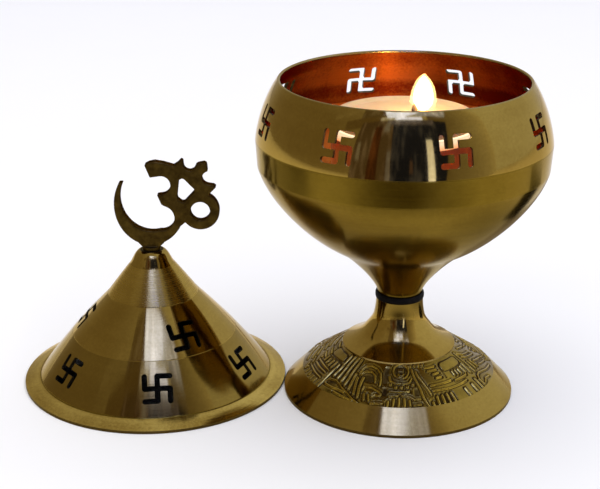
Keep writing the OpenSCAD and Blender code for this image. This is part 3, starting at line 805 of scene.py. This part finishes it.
def make_lid():
    base, line_low, line_high = (31.8, 2.3), (22.4, 14.2), (12.3, 25.2)
    shoulder, tip = np.array([6.0, 33.6]), np.array([3.2, TIP_Z])
    brim_top = (BRIM_R, 0.8)
    stud_r, pocket_r, pocket_depth, hollow_r = 1.4, 3.3, 3.3, 4.3
    ceiling_z = TIP_Z - LID_WALL
    top_z = ceiling_z - pocket_depth
    cap = bezier(shoulder, shoulder + (shoulder - line_high) / 8, (4.6, TIP_Z - 0.47), tip, 16)
    ends = [np.array(p) for p in (base, line_low, line_high, shoulder)]
    cones = [bulged(a, b, swell) for a, b, swell in zip(ends[:-1], ends[1:], (0.1, 0.1, 0.05))]
    brim = bulged(brim_top, base, 0.08, 16)
    hollow = [inset(c, LID_WALL) for c in [brim] + cones]
    grooves = [turned_line(brim, cones[0], 0.22, 0.12)]
    grooves += [turned_line(a, b) for a, b in zip(cones[:-1], cones[1:])]
    inner_r = BRIM_R - LID_WALL
    corners = [(inner_r, 0.1)]
    corners += [(a[0] + b[-1]) / 2 for a, b in zip(hollow[:-1], hollow[1:])]
    corners.append((hollow_r, top_z))
    pocket = [(pocket_r, ceiling_z), (pocket_r, top_z)]
    zones = [
        (straight((BRIM_R, 0), brim_top, 2), brass_cut_and_painted_shade),
        (brim, brass_brim_painted_light),
        (grooves[0], brass_satin_painted_shade),
        (cones[0], brass_lid_low_painted_shade),
        (grooves[1], brass_lid),
        (cones[1], brass_lid),
        (grooves[2], brass_lid),
        (cones[2], brass_lid_top_painted_light),
        (cap, brass_lid),
        *cornered(brass_hidden_painted_shade, tip, (stud_r, TIP_Z), (stud_r, ceiling_z), *pocket, corners[-1]),
        *cornered(brass_hidden_painted_shade, *corners[::-1], steps=16),
        (straight(corners[0], (inner_r, 0), 1), brass_hidden_painted_shade),
        (straight((inner_r, 0), (BRIM_R, 0), 2), brass_hidden_painted_shade),
    ]
    outside, hole_w = joined(*cones), 8.1
    rows = [(outside, z, count, first_turn, hole_w) for z, count, first_turn in ((8.5, 6, 6.5), (18.7, 3, 31))]
    axis = (LID_AXIS.x * MM, LID_AXIS.y * MM, 0)
    add_turned("lid_turned", zones, "lid", "lid_cone", axis, rows)


def make_om():
    """The Om's solid with its edges rounded as a casting's are"""
    source = linked("source", nodes["om_finial"].data.copy())
    remesh = source.modifiers.new("remesh", "REMESH")
    remesh.mode = "VOXEL"
    remesh.voxel_size = 0.13 * MM
    soften = source.modifiers.new("soften", "SMOOTH")
    soften.factor = 0.5
    soften.iterations = 7
    shaped = source.evaluated_get(bpy.context.evaluated_depsgraph_get())
    mesh = bpy.data.meshes.new_from_object(shaped)
    bpy.data.objects.remove(source)
    mesh.name = "om_cast"
    mesh.materials.clear()
    mesh.materials.append(brass_cast)
    mesh.polygons.foreach_set("use_smooth", np.ones(len(mesh.polygons), bool))
    add_object("om_cast", mesh, "lid", "om_finial")


# Candle and flame


def make_cup():
    roll, chamfer, wax_gap = 0.35, 0.8, 0.05
    side_r = CUP_R - roll / 2
    inner_r = CUP_R - CUP_WALL - wax_gap
    floor_z = CUP_Z + CUP_WALL
    lit_z = CUP_TOP - LIT_SIDE
    zones = [
        (straight((0, CUP_Z), (CUP_R - chamfer, CUP_Z), 4), foil),
        (straight((CUP_R - chamfer, CUP_Z), (side_r, CUP_Z + chamfer), 3), foil),
        (straight((side_r, CUP_Z + chamfer), (side_r, lit_z), 24), foil),
        (straight((side_r, lit_z), (side_r, CUP_TOP - 2 * roll), 6), wax_side_painted_glow),
        (arc((CUP_R - roll, CUP_TOP - roll), roll, -60, 150, 12), wax_side_painted_glow),
        (straight((inner_r, CUP_TOP - roll), (inner_r, floor_z), 12), foil),
        (straight((inner_r, floor_z), (0, floor_z), 4), foil),
        (straight((0, floor_z), (0, CUP_Z), 1), foil),
    ]
    add_turned("candle_cup_foil", zones, "candle", "candle_cup")


def wax_unevenness(turn, points):
    """Slow rises and dips of cooled wax"""
    rise = 0.06
    a = np.radians(turn)[None, :]
    r = points[:, :1] / WAX_R
    waves = np.sin(3 * a + 1) + 0.6 * np.sin(7 * a + 2.2) + 0.4 * np.cos(2 * a - 0.7)
    fade = np.sin(np.clip(r, 0, 1) * math.pi)
    return rise * waves * fade


def make_wax():
    pool_depth, pool_dip, round_r, bank_w = 0.6, 0.15, 0.7, 4
    chamfer_w, chamfer_h = 0.5, 0.8
    pool_z = WAX_TOP - pool_depth
    foot_z = CUP_Z + CUP_WALL
    pool_edge = (WAX_R - bank_w, pool_z)
    top = joined(
        bezier((WAX_R - round_r, WAX_TOP), (WAX_R - 1.8, WAX_TOP), (WAX_R - 2.2, pool_z), pool_edge, 16),
        straight(pool_edge, (0, pool_z - pool_dip), 24),
    )
    zones = [
        (straight((0, foot_z), (WAX_R - chamfer_w, foot_z), 3), wax),
        (straight((WAX_R - chamfer_w, foot_z), (WAX_R, foot_z + chamfer_h), 2), wax),
        (straight((WAX_R, foot_z + chamfer_h), (WAX_R, WAX_TOP - round_r), 12), wax),
        (joined(arc((WAX_R - round_r, WAX_TOP - round_r), round_r, 0, 90, 8), top), wax),
        (straight((0, pool_z - pool_dip), (0, foot_z), 1), wax),
    ]
    top_zone = 3
    reliefs = {top_zone: wax_unevenness}
    add_turned("candle_wax_soft", zones, "candle", "candle_wax", reliefs=reliefs)


def make_wick():
    """A braided cord that leans over at its burnt end"""
    solid_r, cord_r, strand_depth = 0.8, 0.72, 0.16
    sides, strands, pitch = 24, 3, 2.4
    burnt_h, burnt_share = 1.2, 0.45
    centre_x = WICK_X + solid_r
    foot = np.array([centre_x, WICK_FOOT_Z])
    bend = np.array([centre_x, WAX_TOP - 0.4])
    tip = np.array([WICK_TIP.x - 0.6, WICK_TIP.z - 0.5])
    path = joined(straight(foot, bend, 60), bezier(bend, bend + (0, 2.2), tip - (1.3, 1.2), tip, 24))
    along = lengths(path)
    way = headings(path)
    around = np.radians(np.arange(sides) * 360 / sides)
    rings = []
    for point, (dx, dz), s in zip(path, way, along):
        taper = np.clip((along[-1] - s) / burnt_h + burnt_share, 0, 1)
        twisted = strands * (around + 2 * math.pi * s / pitch / strands)
        reach = cord_r * taper * (1 + strand_depth * np.cos(twisted))
        across, sideways = np.cos(around) * reach, np.sin(around) * reach
        rings.append(np.column_stack([point[0] + across * dz, sideways, point[1] - across * dx]))
    corners = np.arange(len(rings) * sides).reshape(len(rings), sides)
    lower, upper = corners[:-1], corners[1:]
    walls = np.stack([lower, np.roll(lower, -1, 1), np.roll(upper, -1, 1), upper], axis=-1)
    faces = walls.reshape(-1, 4).tolist() + [corners[0][::-1].tolist(), corners[-1].tolist()]
    mesh = bpy.data.meshes.new("wick_braid")
    mesh.from_pydata((np.vstack(rings) * MM).tolist(), [], faces)
    mesh.polygons.foreach_set("use_smooth", np.ones(len(faces), bool))
    mesh.materials.append(wick_char)
    add_object("wick_braid", mesh, "candle", "wick")


FLAME_X = 4.75
FLAME_FOOT = 78.3
FLAME_TOP = 87.0
FLAME_LOW = (1, 0.45, 0.12)
FLAME_HIGH = (1, 0.84, 0.44)
# Each layer's name, width, growth beyond the core in millimetres, strength and opacity
FLAME_LAYERS = (
    ("flame_core", 0.84, 0.0, 28.0, 1.0),
    ("flame_mantle", 1.02, 0.3, 1.5, 0.26),
    ("flame_glow", 1.3, 0.8, 1.2, 0.1),
)


def make_flame():
    """A drop of light round the wick's end in fainter layers, of which the first is returned"""
    layers = []
    for name, width, grow, strength, alpha in FLAME_LAYERS:
        foot_z, top_z = FLAME_FOOT - grow, FLAME_TOP + grow
        height = top_z - foot_z
        belly = (4.1 * width, foot_z - 0.05 * height)
        shoulder = (2.8 * width, foot_z + 0.8 * height)
        side = bezier((0, foot_z), belly, shoulder, (0, top_z), 40)
        white_z = foot_z + 0.35 * height
        glow = glowing(name, FLAME_LOW, FLAME_HIGH, strength, foot_z - 1, white_z, alpha)
        zones = [(side, glow), (straight((0, top_z), (0, foot_z), 1), glow)]
        layer = add_turned(name, zones, "candle", at=(FLAME_X * MM, 0, 0), segments=SEGMENTS // 6)
        layer.visible_shadow = False
        layers.append(layer)
    return layers[0]


make_foot()
make_ring()
make_bowl()
make_lid()
make_om()
make_cup()
make_wax()
make_wick()
flame_core = make_flame()

FASTENERS = (
    "tie_screw", "head_washer", "nut_washer", "tie_nut", "finial_washer", "finial_nut", "wick_sustainer",
)
for node_name in FASTENERS:
    fastener = nodes[node_name]
    fastener.data.materials.clear()
    fastener.data.materials.append(steel)


# Camera at the photograph's place

PHOTO_W = 600
FOCAL_PX = 1436.7
CAMERA_PLACE = (-0.02683, -0.35806, 0.17432)
CAMERA_TILT = 69.625
camera_data = bpy.data.cameras.new("camera")
camera_data.sensor_width = 36
camera_data.lens = FOCAL_PX * camera_data.sensor_width / PHOTO_W
camera_data.clip_start = 0.01
camera = linked("camera", camera_data)
camera.location = CAMERA_PLACE
camera.rotation_euler = (math.radians(CAMERA_TILT), 0, 0)
scene.camera = camera


# Floor, studio cards and light


def add_sheet(name, corners, material):
    """A flat studio surface, which isn't part of the object"""
    mesh = bpy.data.meshes.new(name)
    mesh.from_pydata(corners, [], [tuple(range(i, i + 4)) for i in range(0, len(corners), 4)])
    mesh.materials.append(material)
    sheet = linked(name, mesh)
    return sheet


def pale_floor():
    """Near white, and dark where a piece shuts the light in"""
    material, add, feed = new_material("floor_pale")
    place = add("TexCoord").outputs["Object"]
    cloud = noise(add, place, scale=20)
    pale = mixed(add, cloud, (0.97, 0.955, 0.92), (0.985, 0.97, 0.94))
    openness = add("AmbientOcclusion", {"Distance": 0.05}).outputs["AO"]
    lit = ranged(add, openness, 0.12, 0.32, 0, 1)
    colour = mixed(add, lit, (0.01, 0.01, 0.01), pale)
    feed({"Base Color": colour, "Roughness": 0.8, "Specular IOR Level": 0.1})
    return material


FLOOR_HALF = 2.0
FLOOR_CORNERS = ((-1, -1), (1, -1), (1, 1), (-1, 1))
add_sheet("floor", [(x * FLOOR_HALF, y * FLOOR_HALF, 0) for x, y in FLOOR_CORNERS], pale_floor())

NO_LIGHT = (0, 0, 0)


def add_mirrored(name, corners, material):
    """A studio surface that shows only in reflections"""
    sheet = add_sheet(name, corners, material)
    for kind in ("camera", "diffuse", "shadow", "transmission"):
        setattr(sheet, "visible_" + kind, False)


def lit_material(name):
    """As new_material, for a surface that gives light and throws none back"""
    material, add, feed = new_material(name)
    feed({"Base Color": rgba(NO_LIGHT), "Specular IOR Level": 0, "Emission Strength": 1})
    return material, add, feed


def add_card(name, corners, light, streaks=NO_LIGHT):
    """A mirrored card with the light that it gives and the light that uneven streaks add"""
    material, add, feed = lit_material(name)
    place = add("TexCoord").outputs["Object"]
    stretched = add("VectorMath", {0: place, 1: (26, 1, 5)}, operation="MULTIPLY").outputs[0]
    cloud = noise(add, stretched, scale=1, detail=3, roughness=0.6)
    uneven = ranged(add, cloud, 0.5, 0.72, 0, 1)
    brighter = tuple(a + b for a, b in zip(light, streaks))
    feed({"Emission Color": mixed(add, uneven, light, brighter)})
    add_mirrored(name, corners, material)


CARD_Y = -0.42


def standing(corners, near):
    """Corners of a card that stands upright, that far in front of CARD_Y"""
    return [(x, CARD_Y + near, z) for x, z in corners]


# Front of the studio as the metal mirrors it: a dim room with pale strips and a window over it.
# Each card has its left and right ends below, those above, its bottom and top, how far it stands forward
# in metres, its light and that of its streaks.
ROOM = (0.02, 0.026, 0.11)
GLEAM = (0.12, 0.14, 0.4)
CARDS = (
    (-0.4, -0.1, -0.36, -0.1, 0.0, 0.5, 0.0, (0.15, 0.12, 0.14), (0.22, 0.22, 0.5)),
    (-0.1, 0.2, -0.1, 0.28, 0.0, 0.5, 0.0, ROOM, GLEAM),
    (-0.25, -0.18, -0.22, -0.17, 0.03, 0.42, 0.004, (0.09, 0.04, 0.03), (0.14, 0.06, 0.05)),
    (-0.125, -0.1, -0.122, -0.102, 0.03, 0.22, 0.006, (0.27, 0.3, 0.8), (0.3, 0.35, 1.2)),
    (0.0, 0.02, 0.004, 0.018, 0.1, 0.17, 0.006, (0.13, 0.1, 0.2), NO_LIGHT),
    (0.1, 0.142, 0.097, 0.135, 0.0, 0.29, 0.006, (1.7, 2.1, 5.8), (0.8, 1.0, 3.0)),
    (-0.345, -0.31, -0.34, -0.315, 0.17, 0.29, 0.006, (0.36, 0.38, 0.8), NO_LIGHT),
    (-0.16, -0.12, -0.15, -0.12, 0.36, 0.46, 0.006, (0.3, 0.34, 0.9), GLEAM),
    (-0.14, 0.16, -0.15, 0.18, 0.43, 0.505, 0.004, (0.14, 0.15, 0.5), (0.3, 0.36, 1.3)),
    (-0.16, -0.04, -0.25, 0.33, 0.565, 0.95, 0.0, (1.9, 2.8, 14.0), (1.0, 1.4, 7.0)),
    (-0.095, 0.1, -0.095, 0.1, 0.508, 0.565, 0.003, (2.2, 3.2, 16.0), (0.8, 1.1, 6.0)),
    (-0.21, -0.095, -0.21, -0.095, 0.515, 0.565, 0.0, (0.9, 1.1, 3.0), (0.5, 0.6, 2.0)),
    (-0.58, -0.2, -0.62, -0.2, 0.43, 0.6, -0.002, (0.24, 0.2, 0.17), NO_LIGHT),
    (0.04, 0.3, 0.2, 0.4, 0.6, 0.95, 0.0, (0.6, 0.8, 3.0), (0.8, 1.0, 4.4)),
    (-0.42, -0.17, -0.48, -0.24, 0.6, 0.95, -0.002, (0.2, 0.17, 0.16), (0.16, 0.18, 0.4)),
    (-1.0, -0.6, -1.1, -0.62, 0.74, 0.92, 0.0, (0.4, 0.38, 0.38), (0.1, 0.1, 0.15)),
)
for number, (left, right, top_left, top_right, bottom, top, near, light, streaks) in enumerate(CARDS):
    outline = [(left, bottom), (right, bottom), (top_right, top), (top_left, top)]
    add_card(f"card_{number}", standing(outline, near), light, streaks)


def add_fading_card(name, corners, first, second):
    """A mirrored card that goes from its left end's light to its right end's"""
    material, add, feed = lit_material(name)
    place = add("SeparateXYZ", {0: add("TexCoord").outputs["Object"]})
    fade = ranged(add, place.outputs[0], corners[0][0], corners[1][0], 0, 1)
    feed({"Emission Color": mixed(add, fade, first, second)})
    add_mirrored(name, corners, material)


# The room's right side, behind the cards
DUSK = [(0.14, 0), (1.0, 0), (1.0, 1.05), (0.14, 1.05)]
add_fading_card("dusk_right", standing(DUSK, -0.004), (0.2, 0.17, 0.14), (0.76, 0.78, 0.9))


def laid(corners, height):
    """Corners of a card that lies that far above the table"""
    return [(x, y, height) for x, y in corners]


def add_shade(name, middle, half_width, half_depth, light, height=0.001):
    """A mirrored dim stretch of the table that fades out at its rim"""
    material, add, feed = lit_material(name)
    place = add("TexCoord").outputs["Object"]
    shifted = add("VectorMath", {0: place, 1: (*middle, height)}, operation="SUBTRACT").outputs[0]
    shrink = (1 / half_width, 1 / half_depth, 0)
    scaled = add("VectorMath", {0: shifted, 1: shrink}, operation="MULTIPLY").outputs[0]
    away = add("VectorMath", {0: scaled}, operation="LENGTH").outputs["Value"]
    shade = ranged(add, away, 0.2, 1, 0, 1)
    feed({"Emission Color": mixed(add, shade, light, (0.94, 0.94, 0.93))})
    x, y = middle
    left, right, front, back = x - half_width, x + half_width, y - half_depth, y + half_depth
    flat = [(left, front), (right, front), (right, back), (left, back)]
    add_mirrored(name, laid(flat, height), material)


# The table as the metal mirrors it: a stretch's middle, half width, half depth, light and height, in metres
add_shade("table_front", (-0.02, -0.2), 0.21, 0.15, (0.1, 0.08, 0.04))
add_shade("table_left", (-0.24, -0.03), 0.13, 0.2, (0.08, 0.06, 0.03))
add_shade("table_foot", (0.055, 0.004), 0.045, 0.06, (0.5, 0.49, 0.46), 0.0007)
STREAK_NEAR = [(0.064, 0.012), (0.108, 0.014), (0.1, 0.062), (0.066, 0.044)]
STREAK_FAR = [(0.108, 0.014), (0.2, 0.045), (0.17, 0.1), (0.1, 0.062)]
add_card("table_right", laid(STREAK_NEAR + STREAK_FAR, 0.0015), (0.008, 0.006, 0.004))
BEHIND_FOOT = [(0.034, 0.026), (0.066, 0.03), (0.1, 0.16), (-0.02, 0.16)]
add_card("table_back", laid(BEHIND_FOOT, 0.001), (0.3, 0.26, 0.2))


def add_room(left, right, reach):
    """Light from all round that goes from the left's colour to the right's across that reach"""
    world = bpy.data.worlds.new("studio")
    scene.world = world
    world.use_nodes = True
    sky = world.node_tree
    way = sky.nodes.new("ShaderNodeTexCoord")
    parts = sky.nodes.new("ShaderNodeSeparateXYZ")
    sideways = sky.nodes.new("ShaderNodeMapRange")
    tint = sky.nodes.new("ShaderNodeMix")
    tint.data_type = "RGBA"
    tint.inputs[6].default_value = rgba(left)
    tint.inputs[7].default_value = rgba(right)
    sideways.inputs[1].default_value = -reach
    sideways.inputs[2].default_value = reach
    sky.links.new(way.outputs["Generated"], parts.inputs[0])
    sky.links.new(parts.outputs[0], sideways.inputs[0])
    sky.links.new(sideways.outputs[0], tint.inputs[0])
    sky.links.new(tint.outputs[2], sky.nodes["Background"].inputs["Color"])
    sky.nodes["Background"].inputs["Strength"].default_value = 1


# Dim and warm on the left, bright and cool on the right
add_room((0.33, 0.295, 0.25), (0.79, 0.86, 1.12), 0.8)


def add_lamp(name, kind, watts, colour):
    data = bpy.data.lights.new(name, kind)
    data.energy = watts
    data.color = colour
    return linked(name, data)


SOFTBOX_SIDE = 2
SOFTBOX_PLACE = Vector((0.0, -0.1, 1.2))
SOFTBOX_TARGET = Vector((0, 0, 0.04))
softbox = add_lamp("softbox", "AREA", 14, (1, 0.985, 0.95))
softbox.data.shape = "RECTANGLE"
softbox.data.size = SOFTBOX_SIDE
softbox.data.size_y = SOFTBOX_SIDE
softbox.location = SOFTBOX_PLACE
softbox.rotation_euler = (SOFTBOX_TARGET - SOFTBOX_PLACE).to_track_quat("-Z", "Y").to_euler()
softbox.visible_glossy = False

flame_light = add_lamp("flame_light", "POINT", 0.009, (1, 0.6, 0.24))
flame_light.data.shadow_soft_size = 2 * MM
flame_light.parent = flame_core
flame_light.location = (0, 0, (FLAME_TOP - 1) * MM)
